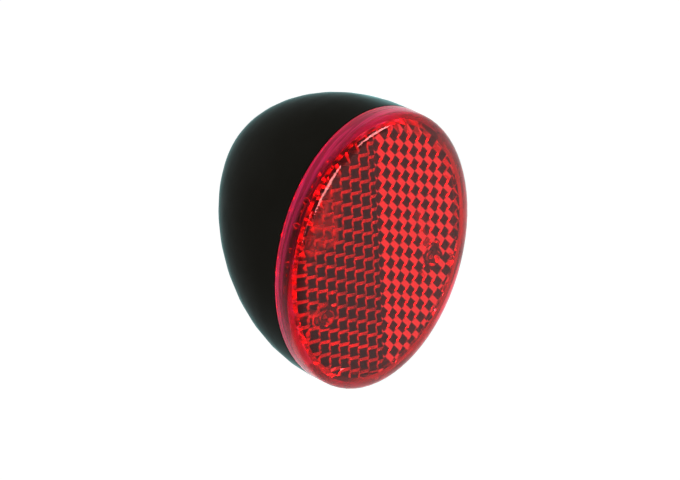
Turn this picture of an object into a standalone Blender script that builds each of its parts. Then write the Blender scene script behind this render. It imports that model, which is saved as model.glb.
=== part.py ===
"""Oval rear reflector for a bicycle: a red lens with moulded corner-cube prisms on a deep black bowl.

The origin is the middle of the rear mounting pad, on the axis of the mounting screw. +Y points out of
the pad, towards the mudguard or carrier. The lens faces -Y, and +Z is up.
"""

import math

import bmesh
import bpy
from mathutils import Matrix, Vector

# The face
FACE_HEIGHT = 0.0650
FACE_WIDTH = 0.0544
OUTLINE_STEPS = 72

# The bowl behind the lens
BOWL_DEPTH = 0.0365
BOWL_WALL = 0.0024
BOWL_SHOULDER = 2.10
BOWL_NOSE = 1.67
BOWL_STEPS = 12
POLE_RISE = 0.0089

# The flat pad on the back of the bowl
PAD_DROP = 0.0020
PAD_THICKNESS = 0.0030
SCREW_HOLE_RADIUS = 0.00275

# The thickened rim of the bowl, with its groove for the lens
RIM_BEAD_WIDTH = 0.0034
RIM_BEAD_LENGTH = 0.0058
RIM_BEAD_TAPER = 0.0016

# The lens
SKIRT_LENGTH = 0.0033
SKIRT_WALL = 0.0021
EDGE_WIDTH = 0.0042
EDGE_RISE = 0.0022
EDGE_STEPS = 6
CROWN_RISE = 0.0004
CROWN_STEPS = 3
CROWN_CENTRE_SIZE = 0.03
PLATE_THICKNESS = 0.0026
TONGUE_WALL = 0.0010
TONGUE_INSET = 0.0009
TONGUE_LENGTH = 0.0022

# The corner-cube prisms on the back of the lens
PRISM_PITCH = 0.0032
PRISM_MARGIN = 0.0030
PRISM_ROOT = 0.0006
PRISM_LEAN_LEFT = (-0.50, 0.26)
PRISM_LEAN_RIGHT = (-0.25, 0.28)
SEAM_OVERLAP = 0.00004

# The ring that seals the lens, and the gap between pieces that touch
SEAL_THICKNESS = 0.0011
GAP = 0.0003

# The steel nut plate inside the pad, and the nut on it
NUT_PLATE_WIDTH = 0.0090
NUT_PLATE_TOP = 0.0052
NUT_PLATE_BOTTOM = 0.0105
NUT_PLATE_THICKNESS = 0.0015
NUT_PLATE_CORNER = 0.0012
NUT_ACROSS_FLATS = 0.0080
NUT_THICKNESS = 0.0040
NUT_BORE_RADIUS = 0.00225
NUT_CHAMFER = 0.0005
FRAME_WALL = 0.0012
FRAME_DEPTH = 0.0030

# The two self-tapping screws that hold the lens from behind
LENS_SCREW_X_SHARE = 0.590
LENS_SCREW_DROP_SHARE = 0.277
LENS_SCREW_RADIUS = 0.0015
LENS_SCREW_HEAD_RADIUS = 0.0024
LENS_SCREW_HEAD_HEIGHT = 0.0020
LENS_SCREW_TIP_RISE = 0.0005
LENS_BOSS_RADIUS = 0.0027
LENS_BOSS_LENGTH = 0.0040
SEAT_DEPTH_SHARE = 0.49
SEAT_THICKNESS = 0.0026
TOWER_WALL = 0.0012

# The short screw that holds the nut plate
PLATE_SCREW_DROP = 0.0078
PLATE_SCREW_LENGTH = 0.0034
PLATE_SCREW_RADIUS = 0.0011
PLATE_SCREW_HEAD_RADIUS = 0.0022
PLATE_SCREW_HEAD_HEIGHT = 0.0013

# The drive recess and point of each screw
DRIVE_RADIUS_SHARE = 0.42
DRIVE_DEPTH_SHARE = 0.5
POINT_LENGTH = 0.0012
POINT_RADIUS_SHARE = 0.35

# The drain hole in the lowest part of the bowl
DRAIN_RADIUS = 0.0015
DRAIN_SETBACK = 0.0105

# Places along the depth, worked out from the sizes above
PAD_Y = 0.0
LIP_Y = PAD_Y + PAD_DROP - BOWL_DEPTH
SKIRT_BACK_Y = LIP_Y - GAP
SHOULDER_Y = SKIRT_BACK_Y - SKIRT_LENGTH
PLATE_FRONT_Y = SHOULDER_Y - EDGE_RISE
PRISM_BASE_Y = PLATE_FRONT_Y + PLATE_THICKNESS
PRISM_HEIGHT = PRISM_PITCH * math.sqrt(2 / 3)
TONGUE_END_Y = SKIRT_BACK_Y + TONGUE_LENGTH
SEAL_FRONT_Y = TONGUE_END_Y + GAP
GROOVE_END_Y = SEAL_FRONT_Y + SEAL_THICKNESS + GAP
PAD_INSIDE_Y = PAD_Y - PAD_THICKNESS
NUT_PLATE_BACK_Y = PAD_INSIDE_Y - GAP
NUT_PLATE_FRONT_Y = NUT_PLATE_BACK_Y - NUT_PLATE_THICKNESS
SEAT_FRONT_Y = LIP_Y + SEAT_DEPTH_SHARE * BOWL_DEPTH
SEAT_BACK_Y = SEAT_FRONT_Y + SEAT_THICKNESS
LENS_SCREW_TIP_Y = PRISM_BASE_Y + LENS_SCREW_TIP_RISE
LENS_SCREW_LENGTH = SEAT_BACK_Y + GAP - LENS_SCREW_TIP_Y
PLATE_SCREW_SEAT_Y = NUT_PLATE_FRONT_Y - GAP
PLATE_SCREW_TIP_Y = PLATE_SCREW_SEAT_Y + PLATE_SCREW_LENGTH

# Half sizes and places across the face
HALF_WIDTH = FACE_WIDTH / 2
HALF_HEIGHT = FACE_HEIGHT / 2
FACE_Z = -POLE_RISE
LENS_SCREW_X = HALF_WIDTH * LENS_SCREW_X_SHARE
LENS_SCREW_Z = FACE_Z - HALF_HEIGHT * LENS_SCREW_DROP_SHARE
HEAD_WAY_RADIUS = LENS_SCREW_HEAD_RADIUS + GAP

# Turns a bar made along Z so that it lies along Y
ALONG_Y = Matrix(((1, 0, 0), (0, 0, 1), (0, -1, 0)))


def clear_scene():
    for obj in list(bpy.data.objects):
        bpy.data.objects.remove(obj)


def make_collection(name):
    collection = bpy.data.collections.new(name)
    bpy.context.scene.collection.children.link(collection)
    return collection


def make_material(name, colour, roughness, metallic=0.0, transmission=0.0):
    material = bpy.data.materials.new(name)
    material.use_nodes = True
    shader = material.node_tree.nodes["Principled BSDF"]
    shader.inputs["Base Color"].default_value = (*colour, 1.0)
    shader.inputs["Roughness"].default_value = roughness
    shader.inputs["Metallic"].default_value = metallic
    shader.inputs["Transmission Weight"].default_value = transmission
    return material


def make_part(name, mesh, material):
    part = bpy.data.objects.new(name, mesh)
    parts.objects.link(part)
    mesh.materials.append(material)
    mesh.shade_smooth()
    mesh.set_sharp_from_angle(angle=math.radians(32))
    return part


def make_cutter(name, mesh):
    cutter = bpy.data.objects.new(name, mesh)
    cutters.objects.link(cutter)
    cutter.hide_render = True
    cutter.display_type = "WIRE"
    return cutter


def combine(target, cutter, operation):
    modifier = target.modifiers.new(f"{operation.lower()} {cutter.name}", "BOOLEAN")
    modifier.operation = operation
    modifier.solver = "EXACT"
    modifier.object = cutter


def add(target, name, mesh):
    combine(target, make_cutter(name, mesh), "UNION")


def cut(target, name, mesh):
    combine(target, make_cutter(name, mesh), "DIFFERENCE")


def oval(inset, depth, scale=1.0):
    """Points round the face's oval at one depth. A scale below 1 draws the oval in towards the pole."""
    points = []
    for step in range(OUTLINE_STEPS):
        angle = 2 * math.pi * step / OUTLINE_STEPS
        edge = Vector((HALF_WIDTH * math.cos(angle), 0, HALF_HEIGHT * math.sin(angle)))
        outward = Vector((math.cos(angle) / HALF_WIDTH, 0, math.sin(angle) / HALF_HEIGHT)).normalized()
        point = (edge - outward * inset) * scale
        points.append(Vector((point.x, depth, point.z + FACE_Z * scale)))
    return points


def loft(rings, closed_section=False):
    """A closed solid skinned over rings of points: capped at both ends, or carried round a section."""
    build = bmesh.new()
    loops = [[build.verts.new(point) for point in ring] for ring in rings]
    pairs = list(zip(loops, loops[1:]))
    if closed_section:
        pairs.append((loops[-1], loops[0]))
    else:
        build.faces.new(loops[0])
        build.faces.new(loops[-1])
    for first, second in pairs:
        for step in range(len(first)):
            following = (step + 1) % len(first)
            build.faces.new((first[step], first[following], second[following], second[step]))
    return finish_mesh(build)


def finish_mesh(build):
    bmesh.ops.recalc_face_normals(build, faces=build.faces)
    mesh = bpy.data.meshes.new("form")
    build.to_mesh(mesh)
    build.free()
    return mesh


def oval_ring(section):
    """A ring round the face: a section of (inset, depth) points carried along the oval."""
    return loft([oval(inset, depth) for inset, depth in section], closed_section=True)


def oval_plate(inset, front, back):
    return loft([oval(inset, front), oval(inset, back)])


def turned(profile, x=0.0, z=0.0, segments=32):
    """A round solid along Y: (radius, depth) points turned about a line through x and z."""
    rings = []
    for radius, depth in profile:
        ring = []
        for step in range(segments):
            angle = 2 * math.pi * step / segments
            ring.append(Vector((x + radius * math.cos(angle), depth, z + radius * math.sin(angle))))
        rings.append(ring)
    return loft(rings)


def bar(radius, front, back, x=0.0, z=0.0, segments=32):
    """A round bar along Y between two depths."""
    build = bmesh.new()
    bmesh.ops.create_cone(
        build, cap_ends=True, segments=segments, radius1=radius, radius2=radius, depth=back - front
    )
    bmesh.ops.rotate(build, verts=build.verts, matrix=ALONG_Y)
    bmesh.ops.translate(build, verts=build.verts, vec=(x, (front + back) / 2, z))
    return finish_mesh(build)


def block(low, high, corner=0.0):
    """A box between two corners, with its four edges along Y rounded."""
    build = bmesh.new()
    bmesh.ops.create_cube(build, size=1.0)
    bmesh.ops.scale(build, verts=build.verts, vec=[b - a for a, b in zip(low, high)])
    bmesh.ops.translate(build, verts=build.verts, vec=[(a + b) / 2 for a, b in zip(low, high)])
    if corner:
        edges = [e for e in build.edges if abs(e.verts[0].co.y - e.verts[1].co.y) > GAP]
        bmesh.ops.bevel(build, geom=edges, offset=corner, segments=4, profile=0.5, affect="EDGES")
    return finish_mesh(build)


def bowl_size(share):
    """The bowl's width at a share of its depth, as a share of its width at the lip."""
    return max(0.0, 1 - share**BOWL_SHOULDER) ** (1 / BOWL_NOSE)


def bowl_rings(wall, front, back):
    """Rings down the bowl between two depths, set in by a wall on the sides and at the pole."""
    depth = BOWL_DEPTH - wall
    first = (front - LIP_Y) / depth
    last = (back - LIP_Y) / depth
    start = math.asin(first / last)
    rings = []
    for step in range(BOWL_STEPS + 1):
        share = last * math.sin(start + (math.pi / 2 - start) * step / BOWL_STEPS)
        rings.append(oval(wall, LIP_Y + share * depth, bowl_size(share)))
    return rings


def nut_plate_block(extra, front, back):
    """The nut plate's outline as a block between two depths, grown by extra on every side."""
    half = NUT_PLATE_WIDTH / 2 + extra
    low = (-half, front, -NUT_PLATE_BOTTOM - extra)
    high = (half, back, NUT_PLATE_TOP + extra)
    return block(low, high, NUT_PLATE_CORNER + extra)


def lens_screw_places():
    return (("left", -LENS_SCREW_X), ("right", LENS_SCREW_X))


def make_housing(material):
    """The black bowl: a shell with a thick grooved rim, a rear pad, and seats for the screws."""
    groove_out = TONGUE_INSET - GAP
    groove_in = TONGUE_INSET + TONGUE_WALL + GAP
    rim = [
        (groove_out, LIP_Y),
        (groove_out, GROOVE_END_Y),
        (groove_in, GROOVE_END_Y),
        (groove_in, LIP_Y),
        (RIM_BEAD_WIDTH, LIP_Y),
        (RIM_BEAD_WIDTH, LIP_Y + RIM_BEAD_LENGTH - RIM_BEAD_TAPER),
    ]
    outside = bowl_rings(0.0, LIP_Y, PAD_Y)
    inside = bowl_rings(BOWL_WALL, LIP_Y + RIM_BEAD_LENGTH, PAD_INSIDE_Y)
    shell = outside[::-1] + [oval(inset, depth) for inset, depth in rim] + inside
    housing = make_part("housing", loft(shell), material)

    # Each tower closes the bowl round a screw seat, and is trimmed to the middle of the wall
    wall_middle = make_cutter("wall_middle", loft(bowl_rings(BOWL_WALL / 2, LIP_Y, PAD_Y - PAD_THICKNESS / 2)))
    for side, x in lens_screw_places():
        tower = make_cutter(
            f"tower_{side}", bar(HEAD_WAY_RADIUS + TOWER_WALL, SEAT_FRONT_Y, PAD_Y, x, LENS_SCREW_Z)
        )
        combine(tower, wall_middle, "INTERSECT")
        combine(housing, tower, "UNION")
        cut(housing, f"head_way_{side}", bar(HEAD_WAY_RADIUS, SEAT_BACK_Y, PAD_Y, x, LENS_SCREW_Z))
        shank_way = bar(LENS_SCREW_RADIUS + GAP, SEAT_FRONT_Y - GAP, PAD_Y, x, LENS_SCREW_Z, 24)
        cut(housing, f"shank_way_{side}", shank_way)

    # The upstand round the nut plate, its pocket, and the holes through the pad
    upstand = make_cutter("plate_upstand", nut_plate_block(GAP + FRAME_WALL, PAD_INSIDE_Y - FRAME_DEPTH, PAD_Y))
    combine(upstand, wall_middle, "INTERSECT")
    combine(housing, upstand, "UNION")
    pocket_front = PAD_INSIDE_Y - FRAME_DEPTH - NUT_THICKNESS
    cut(housing, "plate_pocket", nut_plate_block(GAP, pocket_front, PAD_INSIDE_Y))
    cut(housing, "screw_hole", bar(SCREW_HOLE_RADIUS, pocket_front, PAD_Y + GAP))
    pilot = bar(PLATE_SCREW_RADIUS + GAP, pocket_front, PLATE_SCREW_TIP_Y + GAP, 0, -PLATE_SCREW_DROP, 20)
    cut(housing, "plate_screw_pilot", pilot)
    cut(housing, "drain", drain_bar())
    return housing


def drain_bar():
    """A round bar along Z through the lowest part of the bowl's wall."""
    build = bmesh.new()
    bmesh.ops.create_cone(
        build, cap_ends=True, segments=20, radius1=DRAIN_RADIUS, radius2=DRAIN_RADIUS, depth=6 * BOWL_WALL
    )
    lowest = (FACE_Z - HALF_HEIGHT) * bowl_size(DRAIN_SETBACK / BOWL_DEPTH)
    bmesh.ops.translate(build, verts=build.verts, vec=(0, LIP_Y + DRAIN_SETBACK, lowest))
    return finish_mesh(build)


def lens_form():
    """The lens as a solid block: the skirt, the rounded edge and the slightly crowned front."""
    rings = [oval(0.0, SKIRT_BACK_Y), oval(0.0, SHOULDER_Y)]
    for step in range(1, EDGE_STEPS + 1):
        angle = math.pi / 2 * step / EDGE_STEPS
        rings.append(oval(EDGE_WIDTH * (1 - math.cos(angle)), SHOULDER_Y - EDGE_RISE * math.sin(angle)))
    for step in range(1, CROWN_STEPS + 1):
        share = step / CROWN_STEPS
        depth = PLATE_FRONT_Y - CROWN_RISE * (1 - (1 - share) ** 2)
        size = 1 - share * (1 - CROWN_CENTRE_SIZE)
        edge = oval(EDGE_WIDTH, depth)
        rings.append([Vector((p.x * size, depth, FACE_Z + (p.z - FACE_Z) * size)) for p in edge])
    return loft(rings)


def prism_sheet(turn, lean):
    """A slab whose back is a field of corner cubes. Turn 0 or 1 sets the cubes one way or half round.

    The lean moves each point along X and Z by shares of its height, so that the cubes look aslant.
    """
    build = bmesh.new()
    reach = PRISM_PITCH / math.sqrt(3)
    column_pitch = PRISM_PITCH * math.sqrt(3) / 2
    columns = math.ceil(HALF_WIDTH / column_pitch) + 1
    rows = math.ceil(HALF_HEIGHT / PRISM_PITCH) + 1
    known = {}

    def corner(x, z, height):
        key = (round(x / SEAM_OVERLAP), round(z / SEAM_OVERLAP))
        if key not in known:
            place = (x + lean[0] * height, PRISM_BASE_Y + height, FACE_Z + z + lean[1] * height)
            known[key] = build.verts.new(place)
        return known[key]

    for column in range(-columns, columns + 1):
        for row in range(-rows, rows + 1):
            x = column * column_pitch
            z = (row + (column % 2) / 2) * PRISM_PITCH
            peak = corner(x, z, PRISM_HEIGHT)
            ring = []
            for step in range(6):
                angle = math.pi / 3 * step
                height = PRISM_HEIGHT / 2 if (step + turn) % 2 == 0 else 0.0
                ring.append(corner(x + reach * math.cos(angle), z + reach * math.sin(angle), height))
            for step in range(turn, turn + 6, 2):
                build.faces.new((peak, ring[step % 6], ring[(step + 1) % 6], ring[(step + 2) % 6]))

    # The field gets straight sides and a flat front, so that it is a closed slab
    border = [edge for edge in build.edges if edge.is_boundary]
    wall = bmesh.ops.extrude_edge_only(build, edges=border)["geom"]
    for item in wall:
        if isinstance(item, bmesh.types.BMVert):
            item.co.y = PRISM_BASE_Y - PRISM_ROOT
    bmesh.ops.edgeloop_fill(build, edges=[edge for edge in build.edges if edge.is_boundary])
    bmesh.ops.triangulate(build, faces=build.faces)
    return finish_mesh(build)


def half_oval_bar(side):
    """The left (-1) or right (1) half of the prism field's outline, as a bar along Y."""
    seam_x = -side * SEAM_OVERLAP
    reach = HALF_HEIGHT - PRISM_MARGIN
    arc = [p for p in oval(PRISM_MARGIN, 0.0) if p.x * side > SEAM_OVERLAP]
    arc.sort(key=lambda p: p.z)
    outline = [Vector((seam_x, 0, FACE_Z - reach)), *arc, Vector((seam_x, 0, FACE_Z + reach))]
    front = PRISM_BASE_Y - 2 * PRISM_ROOT
    back = PRISM_BASE_Y + PRISM_HEIGHT + PRISM_ROOT
    return loft([[Vector((p.x, depth, p.z)) for p in outline] for depth in (front, back)])


def make_lens(material):
    """The one-piece red moulding: front plate, rounded edge, skirt, tongue, prisms and screw bosses."""
    lens = make_part("lens", lens_form(), material)
    cut(lens, "lens_hollow", oval_plate(SKIRT_WALL, PRISM_BASE_Y, TONGUE_END_Y + GAP))
    root = SKIRT_BACK_Y - SKIRT_WALL / 2
    tongue = [
        (TONGUE_INSET, root),
        (TONGUE_INSET + TONGUE_WALL, root),
        (TONGUE_INSET + TONGUE_WALL, TONGUE_END_Y),
        (TONGUE_INSET, TONGUE_END_Y),
    ]
    add(lens, "lens_tongue", oval_ring(tongue))

    for name, side, turn, lean in (("left", -1, 0, PRISM_LEAN_LEFT), ("right", 1, 1, PRISM_LEAN_RIGHT)):
        prisms = make_cutter(f"prisms_{name}", prism_sheet(turn, lean))
        combine(prisms, make_cutter(f"prism_field_{name}", half_oval_bar(side)), "INTERSECT")
        combine(lens, prisms, "UNION")

    boss_front = PRISM_BASE_Y - PRISM_ROOT
    boss_back = PRISM_BASE_Y + LENS_BOSS_LENGTH
    for side, x in lens_screw_places():
        add(lens, f"boss_{side}", bar(LENS_BOSS_RADIUS, boss_front, boss_back, x, LENS_SCREW_Z))
        bore = bar(LENS_SCREW_RADIUS + GAP, LENS_SCREW_TIP_Y - GAP, boss_back + GAP, x, LENS_SCREW_Z, 24)
        cut(lens, f"boss_bore_{side}", bore)
    return lens


def make_seal(material):
    """The soft ring at the bottom of the groove, under the tongue of the lens."""
    inner = TONGUE_INSET + TONGUE_WALL
    back = SEAL_FRONT_Y + SEAL_THICKNESS
    section = [
        (TONGUE_INSET, SEAL_FRONT_Y),
        (inner, SEAL_FRONT_Y),
        (inner, back),
        (TONGUE_INSET, back),
    ]
    return make_part("lens_seal", oval_ring(section), material)


def make_nut_plate(material):
    """The steel strip inside the pad that spreads the pull of the mounting screw."""
    plate = make_part("nut_plate", nut_plate_block(0.0, NUT_PLATE_FRONT_Y, NUT_PLATE_BACK_Y), material)
    front = NUT_PLATE_FRONT_Y - GAP
    back = NUT_PLATE_BACK_Y + GAP
    cut(plate, "nut_plate_hole", bar(SCREW_HOLE_RADIUS, front, back))
    screw_hole = bar(PLATE_SCREW_RADIUS + GAP, front, back, 0, -PLATE_SCREW_DROP, 20)
    cut(plate, "nut_plate_screw_hole", screw_hole)
    return plate


def make_nut(material):
    """The hexagonal nut that the mounting screw turns into, with both faces turned down at the corners."""
    corner = NUT_ACROSS_FLATS / 2 / math.cos(math.pi / 6)
    back = NUT_PLATE_FRONT_Y - GAP
    front = back - NUT_THICKNESS
    nut = make_part("mounting_nut", bar(corner, front, back, segments=6), material)
    rounded = [
        (corner - 2 * NUT_CHAMFER, front),
        (corner + NUT_CHAMFER, front + NUT_CHAMFER * 1.5),
        (corner + NUT_CHAMFER, back - NUT_CHAMFER * 1.5),
        (corner - 2 * NUT_CHAMFER, back),
    ]
    combine(nut, make_cutter("nut_chamfers", turned(rounded, segments=48)), "INTERSECT")
    cut(nut, "nut_bore", bar(NUT_BORE_RADIUS, front - GAP, back + GAP))
    return nut


def make_screw(name, x, z, seat, way, length, radius, head_radius, head_height, material):
    """A pan-head self-tapping screw along Y. The way, 1 or -1, is where its shank points from the seat."""
    top = seat - way * head_height
    profile = [
        (head_radius * 0.72, top),
        (head_radius * 0.94, top + way * head_height * 0.22),
        (head_radius, top + way * head_height * 0.55),
        (head_radius, seat),
        (radius, seat),
        (radius, seat + way * (length - POINT_LENGTH)),
        (radius * POINT_RADIUS_SHARE, seat + way * length),
    ]
    screw = make_part(name, turned(profile, x, z, 24), material)
    recess_floor = top + way * head_height * DRIVE_DEPTH_SHARE
    front, back = sorted((top - way * GAP, recess_floor))
    recess = bar(head_radius * DRIVE_RADIUS_SHARE, front, back, x, z, 4)
    cut(screw, f"{name}_drive", recess)
    return screw


clear_scene()
parts = make_collection("oval rear reflector")
cutters = make_collection("cutters")

black_plastic = make_material("black moulded plastic", (0.012, 0.012, 0.011), 0.38)
red_plastic = make_material("red lens plastic", (0.75, 0.01, 0.01), 0.05, transmission=0.9)
rubber = make_material("seal rubber", (0.02, 0.02, 0.02), 0.85)
zinc = make_material("zinc plated steel", (0.62, 0.62, 0.60), 0.35, metallic=1.0)
steel = make_material("plain steel", (0.50, 0.50, 0.50), 0.30, metallic=1.0)

make_housing(black_plastic)
make_lens(red_plastic)
make_seal(rubber)
make_nut_plate(zinc)
make_nut(steel)
for side, x in lens_screw_places():
    make_screw(
        f"lens_screw_{side}",
        x,
        LENS_SCREW_Z,
        SEAT_BACK_Y + GAP,
        -1,
        LENS_SCREW_LENGTH,
        LENS_SCREW_RADIUS,
        LENS_SCREW_HEAD_RADIUS,
        LENS_SCREW_HEAD_HEIGHT,
        zinc,
    )
make_screw(
    "plate_screw",
    0,
    -PLATE_SCREW_DROP,
    PLATE_SCREW_SEAT_Y,
    1,
    PLATE_SCREW_LENGTH,
    PLATE_SCREW_RADIUS,
    PLATE_SCREW_HEAD_RADIUS,
    PLATE_SCREW_HEAD_HEIGHT,
    zinc,
)
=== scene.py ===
"""Oval rear reflector for a bicycle: a red lens with corner-cube prisms on a deep black bowl.

The origin is the middle of the mounting pad. +Y points out of the pad, the lens faces -Y, +Z is up.
"""

import math

import bpy
from mathutils import Matrix, Vector


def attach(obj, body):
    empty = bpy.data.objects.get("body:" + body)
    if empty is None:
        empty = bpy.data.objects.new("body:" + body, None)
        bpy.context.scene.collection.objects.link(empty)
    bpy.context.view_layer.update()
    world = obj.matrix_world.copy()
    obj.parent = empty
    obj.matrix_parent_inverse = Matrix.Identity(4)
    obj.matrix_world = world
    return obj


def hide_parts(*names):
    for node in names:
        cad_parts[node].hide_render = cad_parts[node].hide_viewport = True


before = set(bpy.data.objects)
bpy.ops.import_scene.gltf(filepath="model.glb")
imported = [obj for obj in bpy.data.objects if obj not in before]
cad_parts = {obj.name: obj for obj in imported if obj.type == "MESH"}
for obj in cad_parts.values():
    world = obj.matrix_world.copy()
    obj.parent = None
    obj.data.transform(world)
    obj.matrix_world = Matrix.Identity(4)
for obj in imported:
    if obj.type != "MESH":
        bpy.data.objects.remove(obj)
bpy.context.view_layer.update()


# The camera, where the photograph was taken from: on the left of the lens and above it, some way off,
# through a long lens, with the picture turned a little.
FACE_CENTRE = Vector((0, -0.0381, -0.0089))
HALF_FACE = 0.0325
CAMERA_DISTANCE = 37 * HALF_FACE
CAMERA_LEFT = math.radians(43.5)
CAMERA_ABOVE = math.radians(31.7)
CAMERA_ROLL = math.radians(-2.7)
FRAME_OFFSET = (-0.24 * HALF_FACE, 0.083 * HALF_FACE)
FRAME_WIDTH = 680
FACE_PIXELS = 152.4
SENSOR_WIDTH = 36

level = math.cos(CAMERA_ABOVE)
backwards = Vector(
    (-math.sin(CAMERA_LEFT) * level, -math.cos(CAMERA_LEFT) * level, math.sin(CAMERA_ABOVE))
)
sideways = Vector((math.cos(CAMERA_LEFT), -math.sin(CAMERA_LEFT), 0))
upwards = backwards.cross(sideways)
camera_x = sideways * math.cos(CAMERA_ROLL) + upwards * math.sin(CAMERA_ROLL)
camera_y = upwards * math.cos(CAMERA_ROLL) - sideways * math.sin(CAMERA_ROLL)
frame_centre = FACE_CENTRE + sideways * FRAME_OFFSET[0] + upwards * FRAME_OFFSET[1]
camera_place = frame_centre + backwards * CAMERA_DISTANCE

camera = bpy.data.objects.new("camera", bpy.data.cameras.new("camera"))
bpy.context.scene.collection.objects.link(camera)
turn = Matrix((camera_x, camera_y, backwards)).transposed().to_4x4()
camera.matrix_world = Matrix.Translation(camera_place) @ turn
camera.data.sensor_width = SENSOR_WIDTH
camera.data.lens = SENSOR_WIDTH * FACE_PIXELS * CAMERA_DISTANCE / HALF_FACE / FRAME_WIDTH
bpy.context.scene.camera = camera


# The studio: a white room with a pale floor well below the reflector, whose far part runs up into the
# white of the room. Three oval lamps in front of the lens draw the highlights on its rounded edge.
ROOM_LIGHT = 0.58
ROOM_WHITE = 1.0
FLOOR_SIZE = 8.0
FLOOR_Z = -0.22
FLOOR_COLOUR = (0.45, 0.45, 0.45)
FLOOR_WHITENESS = 0.75
FLOOR_RISE = (0.45, 2.6)
LAMP_DISTANCE = 0.9
SHORT_LAMP = ((0.56, -0.82, -0.03), (0.26, 0.13), 2.4)
LONG_LAMP = ((0.25, -0.95, -0.17), (0.20, 0.26), 4.0)
LOW_LAMP = ((-0.12, -0.94, -0.27), (0.06, 0.50), 0.8)
LIGHT_BOUNCES = 48
LENS_BOUNCES = 40


def nodes_of(owner):
    """A cleared node tree, with short ways to add a node and to join two sockets."""
    owner.use_nodes = True
    tree = owner.node_tree
    tree.nodes.clear()

    def add(kind, **settings):
        node = tree.nodes.new(f"ShaderNode{kind}")
        for name, value in settings.items():
            setattr(node, name, value)
        return node

    def join(out, into):
        tree.links.new(out, into)

    return add, join


def spread(add, join, value, low, high, start=0.3, end=0.7):
    """A value between start and end, spread to run from low to high."""
    ranged = add("MapRange")
    ranged.inputs["From Min"].default_value = start
    ranged.inputs["From Max"].default_value = end
    ranged.inputs["To Min"].default_value = low
    ranged.inputs["To Max"].default_value = high
    join(value, ranged.inputs["Value"])
    return ranged.outputs["Result"]


def combined(add, join, first, second, operation):
    both = add("Math", operation=operation)
    join(first, both.inputs[0])
    join(second, both.inputs[1])
    return both.outputs[0]


def larger(add, join, first, second):
    return combined(add, join, first, second, "MAXIMUM")


def seen_as_white(add, join):
    """1 for what the camera sees directly, in a gloss or through the clear lens, and 0 for soft light."""
    rays = add("LightPath").outputs
    seen = larger(add, join, rays["Is Camera Ray"], rays["Is Glossy Ray"])
    return larger(add, join, seen, rays["Is Transmission Ray"])


room = bpy.data.worlds.new("white room")
bpy.context.scene.world = room
add, join = nodes_of(room)
light = spread(add, join, seen_as_white(add, join), ROOM_LIGHT, ROOM_WHITE, 0, 1)
background = add("Background")
background.inputs["Color"].default_value = (1, 1, 1, 1)
join(light, background.inputs["Strength"])
join(background.outputs[0], add("OutputWorld").inputs["Surface"])

floor_paint = bpy.data.materials.new("pale floor")
add, join = nodes_of(floor_paint)
distance = add("VectorMath", operation="LENGTH")
join(add("TexCoord").outputs["Object"], distance.inputs[0])
rise = spread(add, join, distance.outputs["Value"], 0, FLOOR_WHITENESS, *FLOOR_RISE)
seen = spread(add, join, seen_as_white(add, join), 0, FLOOR_WHITENESS, 0, 1)
paint = add("BsdfDiffuse")
paint.inputs["Color"].default_value = (*FLOOR_COLOUR, 1)
white = add("Emission")
join(larger(add, join, rise, seen), white.inputs["Strength"])
both = add("AddShader")
join(paint.outputs[0], both.inputs[0])
join(white.outputs[0], both.inputs[1])
join(both.outputs[0], add("OutputMaterial").inputs["Surface"])

bpy.ops.mesh.primitive_plane_add(size=FLOOR_SIZE, location=(0, 0, FLOOR_Z))
floor = bpy.context.object
floor.name = "floor"
floor.data.materials.append(floor_paint)


def soft_lamp(name, direction, size, power):
    """A long oval soft lamp that looks at the lens from a direction."""
    lamp = bpy.data.lights.new(name, "AREA")
    lamp.shape = "ELLIPSE"
    lamp.size, lamp.size_y = size
    lamp.energy = power
    holder = bpy.data.objects.new(name, lamp)
    bpy.context.scene.collection.objects.link(holder)
    towards = Vector(direction).normalized()
    holder.location = FACE_CENTRE + towards * LAMP_DISTANCE
    holder.rotation_euler = towards.to_track_quat("Z", "Y").to_euler()


soft_lamp("short lamp", *SHORT_LAMP)
soft_lamp("long lamp", *LONG_LAMP)
soft_lamp("low lamp", *LOW_LAMP)

view = bpy.context.scene.view_settings
view.view_transform = "Standard"

# Light crosses the lens many times between its prisms before it comes out
light_paths = bpy.context.scene.cycles
light_paths.max_bounces = LIGHT_BOUNCES
light_paths.glossy_bounces = LENS_BOUNCES
light_paths.transmission_bounces = LENS_BOUNCES


# The bowl: one moulding in black plastic with a fine satin grain. It carries the lens in its grooved
# rim, and the mounting screw through the flat pad on its back.
BLACK = (0.0122, 0.0115, 0.0088)
BLACK_WORN = (0.0150, 0.0142, 0.0115)
BOWL_CLOUD = (0.011, 3)
BOWL_SATIN = (0.004, 4)
BOWL_ROUGHNESS = (0.36, 0.46)
BOWL_GRAIN = (0.00035, 1)
BOWL_GRAIN_DEPTH = 0.000012
BOWL_GLOSS = 0.006
BOWL_SHEEN = 0.9
BOWL_SHEEN_ROUGHNESS = 0.2
BOWL_SHEEN_TINT = (0.45, 1.0, 1.0)
SMOOTH_ANGLE = math.radians(32)
MERGE_DISTANCE = 0.000001


def deselect():
    if bpy.context.object and bpy.context.object.mode != "OBJECT":
        bpy.ops.object.mode_set(mode="OBJECT")
    bpy.ops.object.select_all(action="DESELECT")


def use(obj):
    """Makes one object the only selected and active one."""
    deselect()
    obj.select_set(True)
    bpy.context.view_layer.objects.active = obj


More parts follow.
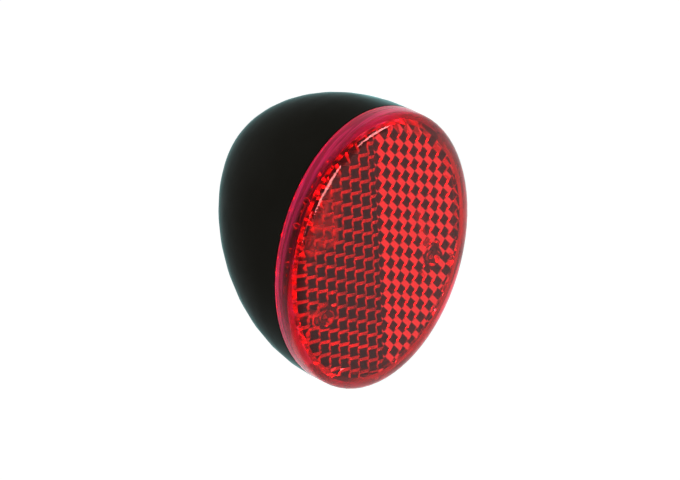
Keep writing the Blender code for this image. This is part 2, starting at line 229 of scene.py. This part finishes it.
def copy_of(node, name, smooth_angle):
    """A merged, smooth-shaded copy of a CAD node that stands in its place."""
    piece = bpy.data.objects.new(name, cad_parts[node].data.copy())
    piece.data.name = name
    bpy.context.scene.collection.objects.link(piece)
    use(piece)
    bpy.ops.mesh.customdata_custom_splitnormals_clear()
    bpy.ops.object.mode_set(mode="EDIT")
    bpy.ops.mesh.select_all(action="SELECT")
    bpy.ops.mesh.remove_doubles(threshold=MERGE_DISTANCE)
    bpy.ops.object.mode_set(mode="OBJECT")
    bpy.ops.object.shade_smooth_by_angle(angle=smooth_angle)
    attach(piece, "root")
    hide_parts(node)
    return piece


def wear(piece, material):
    piece.data.materials.clear()
    piece.data.materials.append(material)


def surface(name):
    """A new material with its shader joined to the output, ready for its maps."""
    material = bpy.data.materials.new(name)
    add, join = nodes_of(material)
    shader = add("BsdfPrincipled")
    join(shader.outputs[0], add("OutputMaterial").inputs["Surface"])
    place = add("TexCoord").outputs["Object"]
    return material, shader, place, add, join


def speckle(add, join, place, size, detail=2):
    """Noise whose blotches are about one size across, in metres."""
    noise = add("TexNoise")
    noise.inputs["Scale"].default_value = 1 / size
    noise.inputs["Detail"].default_value = detail
    join(place, noise.inputs["Vector"])
    return noise.outputs["Fac"]


def two_colours(add, join, value, first, second):
    mix = add("Mix", data_type="RGBA")
    mix.inputs["A"].default_value = (*first, 1)
    mix.inputs["B"].default_value = (*second, 1)
    join(value, mix.inputs["Factor"])
    return mix.outputs["Result"]


def mottled(name, colours, cloud, satin, roughness, grain, depth):
    """A material that runs from one colour to another in clouds, with an uneven finish and a fine grain.

    The clouds, the finish and the grain are each the size and the detail of their noise.
    """
    material, shader, place, add, join = surface(name)
    clouds = spread(add, join, speckle(add, join, place, *cloud), 0, 1)
    join(two_colours(add, join, clouds, *colours), shader.inputs["Base Color"])
    join(spread(add, join, speckle(add, join, place, *satin), *roughness), shader.inputs["Roughness"])
    bump = add("Bump")
    bump.inputs["Distance"].default_value = depth
    join(speckle(add, join, place, *grain), bump.inputs["Height"])
    join(bump.outputs["Normal"], shader.inputs["Normal"])
    return material, shader


black_plastic, shader = mottled(
    "black moulded plastic", (BLACK, BLACK_WORN), BOWL_CLOUD, BOWL_SATIN, BOWL_ROUGHNESS, BOWL_GRAIN,
    BOWL_GRAIN_DEPTH,
)
shader.inputs["Specular IOR Level"].default_value = BOWL_GLOSS
shader.inputs["Sheen Weight"].default_value = BOWL_SHEEN
shader.inputs["Sheen Roughness"].default_value = BOWL_SHEEN_ROUGHNESS
shader.inputs["Sheen Tint"].default_value = (*BOWL_SHEEN_TINT, 1)

bowl = copy_of("housing", "bowl", SMOOTH_ANGLE)
wear(bowl, black_plastic)


# The lens: one moulding in clear red plastic, with a polished front and corner cubes on its back. Its
# thin skirt lets a little blue through, and so looks pink. The lip that meets the bowl is frosted in
# streaks along the rim, and its tongue sits in the bowl's groove.
HALF_FACE_WIDTH = 0.0272
LENS_RED = (0.95, 0.018, 0.020)
LENS_THIN_RED = (0.95, 0.030, 0.160)
LENS_GLOSS_TINT = (0.75, 0.12, 0.12)
SKIRT_START = (0.925, 0.945)
LIP_START = (-0.0378, -0.0356)
LIP_WIDENING = 1800
LIP_STREAKS = (0.05, 1, 0.05)
STREAK_SIZE = 0.0007
STREAK_FROST = (0.4, 1.0)
STREAK_EDGES = (0.42, 0.58)
LIP_CLEARNESS = 0.1
POLISH = 0.012
MOULD_FINISH = (0.06, 0.10)
MOULD_SATIN = (0.006, 3)
FACE_DEPTH = (-0.0386, -0.0380)
LENS_INDEX = 1.49
LENS_SMOOTH_ANGLE = math.radians(25)


def from_middle(add, join, place):
    """How far out a place is on the face, from 0 in its middle to 1 at its rim."""
    flat = add("Mapping")
    flat.inputs["Scale"].default_value = (1 / HALF_FACE_WIDTH, 0, 1 / HALF_FACE)
    flat.inputs["Location"].default_value = (0, 0, -FACE_CENTRE.z / HALF_FACE)
    join(place, flat.inputs["Vector"])
    length = add("VectorMath", operation="LENGTH")
    join(flat.outputs["Vector"], length.inputs[0])
    return length.outputs["Value"]


def multiplied(add, join, first, second):
    return combined(add, join, first, second, "MULTIPLY")


red_plastic, shader, place, add, join = surface("clear red plastic")

# Pink where the moulding is thin, at its rim
thin = spread(add, join, from_middle(add, join, place), 0, 1, *SKIRT_START)
join(two_colours(add, join, thin, LENS_RED, LENS_THIN_RED), shader.inputs["Base Color"])

# Polished on its face and rougher behind it
apart = add("SeparateXYZ")
join(place, apart.inputs[0])
behind = spread(add, join, apart.outputs["Y"], 0, 1, *FACE_DEPTH)
satin = spread(add, join, speckle(add, join, place, *MOULD_SATIN), *MOULD_FINISH)
finish = multiplied(add, join, behind, satin)
join(spread(add, join, finish, POLISH, POLISH + 1, 0, 1), shader.inputs["Roughness"])

# Frosted in streaks at the lip, which is wider at the top and bottom of the lens
above = add("Math", operation="SUBTRACT")
join(apart.outputs["Z"], above.inputs[0])
above.inputs[1].default_value = FACE_CENTRE.z
widened = add("Math", operation="MULTIPLY_ADD")
squared = multiplied(add, join, above.outputs[0], above.outputs[0])
join(multiplied(add, join, squared, squared), widened.inputs[0])
widened.inputs[1].default_value = LIP_WIDENING
join(apart.outputs["Y"], widened.inputs[2])
at_lip = multiplied(add, join, thin, spread(add, join, widened.outputs[0], 0, 1, *LIP_START))
along_rim = add("Mapping")
along_rim.inputs["Scale"].default_value = LIP_STREAKS
join(place, along_rim.inputs["Vector"])
streaks = speckle(add, join, along_rim.outputs["Vector"], STREAK_SIZE)
at_lip = multiplied(add, join, at_lip, spread(add, join, streaks, *STREAK_FROST, *STREAK_EDGES))
clearness = spread(add, join, at_lip, 1, LIP_CLEARNESS, 0, 1)
join(clearness, shader.inputs["Transmission Weight"])
shader.inputs["IOR"].default_value = LENS_INDEX
shader.inputs["Specular Tint"].default_value = (*LENS_GLOSS_TINT, 1)

lens = copy_of("lens", "prism_lens", LENS_SMOOTH_ANGLE)
wear(lens, red_plastic)


# The sealing ring: a soft ring of black rubber, a little dusty. It lies at the bottom of the bowl's
# groove, where the tongue of the lens presses on it.
RUBBER = (0.020, 0.020, 0.019)
RUBBER_DUSTY = (0.034, 0.033, 0.031)
RUBBER_CLOUD = (0.0015, 4)
RUBBER_SATIN = (0.0006, 3)
RUBBER_ROUGHNESS = (0.75, 0.9)
RUBBER_GRAIN = (0.0002, 2)
RUBBER_GRAIN_DEPTH = 0.00001

rubber, shader = mottled(
    "seal rubber", (RUBBER, RUBBER_DUSTY), RUBBER_CLOUD, RUBBER_SATIN, RUBBER_ROUGHNESS, RUBBER_GRAIN,
    RUBBER_GRAIN_DEPTH,
)
wear(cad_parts["lens_seal"], rubber)


# The nut plate: a strip of zinc plated steel, pressed from sheet and dull in places. It lies in the
# pocket of the pad, and a short screw holds it there.
ZINC = (0.60, 0.60, 0.585)
ZINC_DULL = (0.44, 0.45, 0.46)
ZINC_CLOUD = (0.0012, 5)
ZINC_SATIN = (0.0005, 4)
ZINC_ROUGHNESS = (0.24, 0.42)
ZINC_GRAIN = (0.00025, 2)
ZINC_GRAIN_DEPTH = 0.000004

zinc, shader = mottled(
    "zinc plated steel", (ZINC, ZINC_DULL), ZINC_CLOUD, ZINC_SATIN, ZINC_ROUGHNESS, ZINC_GRAIN,
    ZINC_GRAIN_DEPTH,
)
shader.inputs["Metallic"].default_value = 1.0
wear(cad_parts["nut_plate"], zinc)


# The screws: three self-tapping screws in the same zinc plated steel. Two reach from the bowl's back
# into the lens, and a short one holds the nut plate. Each has a pan head, a cross recess and a rolled
# thread that runs out in a point.
LENS_SCREW = {"shank": 0.0015, "core": 0.00112, "head": 0.0020, "pitch": 0.00134, "point": 0.0022, "top": 1}
PLATE_SCREW = {"shank": 0.0011, "core": 0.00084, "head": 0.0013, "pitch": 0.00085, "point": 0.0008, "top": -1}
ROUND_SIDES = 32
THREAD_STEPS = 24
THREAD_FLANK = 0.36
THREAD_ROOT = 0.97
THREAD_CREST = 0.985
POINT_RINGS = ((0.6, 0.5), (0.4, 0.12))
PAN_FLARE = 0.94
PAN_RINGS = ((0.08, 1 / PAN_FLARE), (0.44, 0.97), (0.26, 0.86), (0.15, 0.78), (0.07, 0.55))
CROSS_LENGTH = 0.62
CROSS_WIDTH = 0.17
CROSS_DEPTH = 0.55
CROSS_TAPER = 0.7


def extrude(rise, scale):
    """Draws the selected faces along Z and then widens or narrows them."""
    bpy.ops.mesh.extrude_region_move(TRANSFORM_OT_translate={"value": (0, 0, rise)})
    bpy.ops.transform.resize(value=(scale, scale, 1), center_override=(0, 0, 0))


def pick_cap(obj, side):
    """Selects the flat end face of a round bar, at its top or at its bottom."""
    bpy.ops.mesh.select_all(action="DESELECT")
    bpy.ops.object.mode_set(mode="OBJECT")
    end = max(obj.data.polygons, key=lambda face: side * face.center.z)
    end.select = True
    bpy.ops.object.mode_set(mode="EDIT")
    bpy.ops.mesh.select_mode(type="FACE")


def thread(name, root, crest, pitch, bottom, turns):
    """A ridge that winds up the Z axis, with closed ends."""
    bpy.ops.mesh.primitive_circle_add(vertices=3, radius=pitch / 2)
    ridge = bpy.context.object
    ridge.name = name
    corners = ((root, -pitch * THREAD_FLANK), (crest, 0), (root, pitch * THREAD_FLANK))
    for corner, (across, up) in zip(ridge.data.vertices, corners):
        corner.co = (across, 0, bottom + up)
    wind = ridge.modifiers.new("wind", "SCREW")
    wind.axis = "Z"
    wind.angle = math.tau
    wind.screw_offset = pitch
    wind.iterations = turns
    wind.steps = THREAD_STEPS
    use(ridge)
    bpy.ops.object.modifier_apply(modifier=wind.name)
    bpy.ops.object.mode_set(mode="EDIT")
    bpy.ops.mesh.select_all(action="SELECT")
    bpy.ops.mesh.fill_holes(sides=3)
    bpy.ops.mesh.normals_make_consistent(inside=False)
    bpy.ops.object.mode_set(mode="OBJECT")
    return ridge


def unite(main, others):
    use(main)
    for other in others:
        other.select_set(True)
    bpy.ops.object.join()


def box_of(node):
    corners = [corner.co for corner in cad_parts[node].data.vertices]
    low = Vector([min(corner[axis] for corner in corners) for axis in range(3)])
    high = Vector([max(corner[axis] for corner in corners) for axis in range(3)])
    return low, high


def tapping_screw(name, node, sizes):
    """A self-tapping screw that takes its axis, length and head width from the CAD screw."""
    low, high = box_of(node)
    head_radius = (high.x - low.x) / 2
    shank_length = high.y - low.y - sizes["head"]
    core_length = shank_length - sizes["point"]
    bpy.ops.mesh.primitive_cylinder_add(vertices=ROUND_SIDES, radius=sizes["core"], depth=core_length)
    screw = bpy.context.object
    screw.name = name
    screw.data.name = name
    for corner in screw.data.vertices:
        corner.co.z += sizes["point"] + core_length / 2
    use(screw)
    bpy.ops.object.mode_set(mode="EDIT")
    pick_cap(screw, -1)
    for rise_share, scale in POINT_RINGS:
        extrude(-sizes["point"] * rise_share, scale)
    pick_cap(screw, 1)
    extrude(0, head_radius / sizes["core"] * PAN_FLARE)
    for rise_share, scale in PAN_RINGS:
        extrude(sizes["head"] * rise_share, scale)
    bpy.ops.object.mode_set(mode="OBJECT")

    recess = []
    for turned in (True, False):
        bpy.ops.mesh.primitive_cube_add(size=1)
        slot = bpy.context.object
        long = head_radius * CROSS_LENGTH * 2
        wide = head_radius * CROSS_WIDTH * 2
        deep = sizes["head"] * CROSS_DEPTH
        for corner in slot.data.vertices:
            taper = 1 if corner.co.z > 0 else CROSS_TAPER
            across, along = corner.co.x * long * taper, corner.co.y * wide * taper
            up = shank_length + sizes["head"] + corner.co.z * deep * 2
            corner.co = (-along, across, up) if turned else (across, along, up)
        recess.append(slot)
    for slot in recess:
        cut = screw.modifiers.new("recess", "BOOLEAN")
        cut.object = slot
        cut.solver = "EXACT"
        use(screw)
        bpy.ops.object.modifier_apply(modifier=cut.name)
        bpy.data.objects.remove(slot)

    pitch = sizes["pitch"]
    turns = int((core_length - pitch) / pitch)
    root, crest = sizes["core"] * THREAD_ROOT, sizes["shank"] * THREAD_CREST
    ridge = thread("ridge", root, crest, pitch, sizes["point"], turns)
    unite(screw, [ridge])
    use(screw)
    screw.rotation_euler.x = -sizes["top"] * math.pi / 2
    screw.location = ((low.x + high.x) / 2, low.y if sizes["top"] > 0 else high.y, (low.z + high.z) / 2)
    bpy.ops.object.transform_apply(location=True, rotation=True, scale=True)
    bpy.ops.object.shade_smooth_by_angle(angle=SMOOTH_ANGLE)
    wear(screw, zinc)
    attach(screw, "root")
    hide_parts(node)


tapping_screw("left_tapping_screw", "lens_screw_left", LENS_SCREW)
tapping_screw("right_tapping_screw", "lens_screw_right", LENS_SCREW)
tapping_screw("plate_tapping_screw", "plate_screw", PLATE_SCREW)


# The mounting nut: a hexagon nut in plain steel, held by the nut plate on the axis of the hole. Its
# bore has a cut thread.
STEEL = (0.46, 0.45, 0.44)
STEEL_DARK = (0.30, 0.295, 0.29)
STEEL_CLOUD = (0.0016, 5)
STEEL_SATIN = (0.0006, 4)
STEEL_ROUGHNESS = (0.30, 0.50)
STEEL_GRAIN = (0.0003, 3)
STEEL_GRAIN_DEPTH = 0.000006
NUT_THREAD = {"root": 0.00228, "crest": 0.00205, "pitch": 0.0008}

steel, shader = mottled(
    "plain steel", (STEEL, STEEL_DARK), STEEL_CLOUD, STEEL_SATIN, STEEL_ROUGHNESS, STEEL_GRAIN,
    STEEL_GRAIN_DEPTH,
)
shader.inputs["Metallic"].default_value = 1.0

nut = copy_of("mounting_nut", "threaded_nut", SMOOTH_ANGLE)
low, high = box_of("mounting_nut")
turns = int((high.y - low.y) / NUT_THREAD["pitch"]) - 1
cut_thread = thread("cut thread", *NUT_THREAD.values(), NUT_THREAD["pitch"] / 2, turns)
use(cut_thread)
cut_thread.rotation_euler.x = -math.pi / 2
cut_thread.location = ((low.x + high.x) / 2, low.y, (low.z + high.z) / 2)
bpy.ops.object.transform_apply(location=True, rotation=True, scale=True)
unite(nut, [cut_thread])
bpy.ops.object.shade_smooth_by_angle(angle=SMOOTH_ANGLE)
wear(nut, steel)
